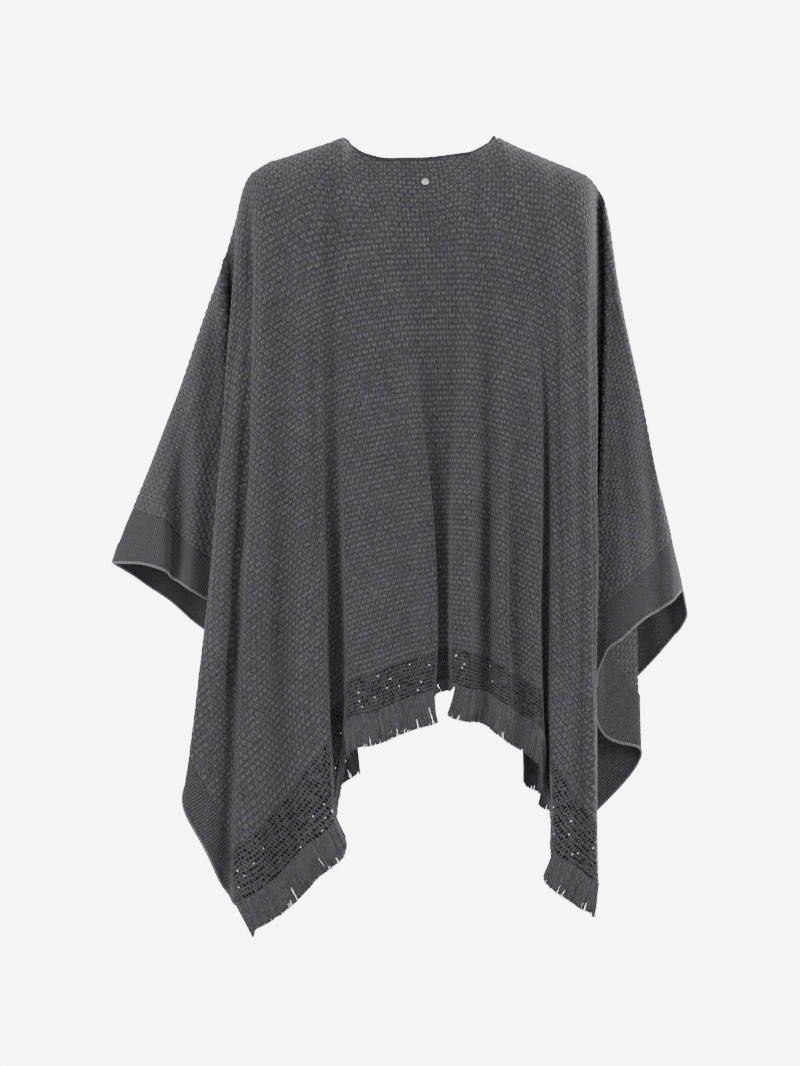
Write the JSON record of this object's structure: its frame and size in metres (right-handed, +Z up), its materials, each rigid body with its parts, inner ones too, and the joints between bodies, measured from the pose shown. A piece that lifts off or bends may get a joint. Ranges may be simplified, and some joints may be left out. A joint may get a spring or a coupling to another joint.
{
  "type": "knitted poncho",
  "caption": "Open-front knitted poncho in its worn, hollow form: deep folds, wide open sleeves, pointed tails, openwork hem bands and a yarn fringe.",
  "frame": {"origin": "between the shoulders, level with the shoulder line, where the wearer's neck and shoulders hold the cloth", "axes": "+Z up, +X towards the wearer's left arm, -Y towards the wearer's front"},
  "size_m": [0.699, 0.2663, 0.9603],
  "materials": {
    "knit": "charcoal marl knit, matt and slightly fuzzy",
    "yarn": "charcoal yarn, matt",
    "stud": "polished silver"
  },
  "bodies": {
    "root": {"back_panel": "knit", "front_panel_left": "knit", "front_panel_right": "knit", "neck_binding": "yarn", "fringe_back_left": "yarn", "fringe_back_centre": "yarn", "fringe_back_right": "yarn", "fringe_front_left": "yarn", "fringe_front_right": "yarn", "nape_stud": "stud"}
  },
  "joints": []
}
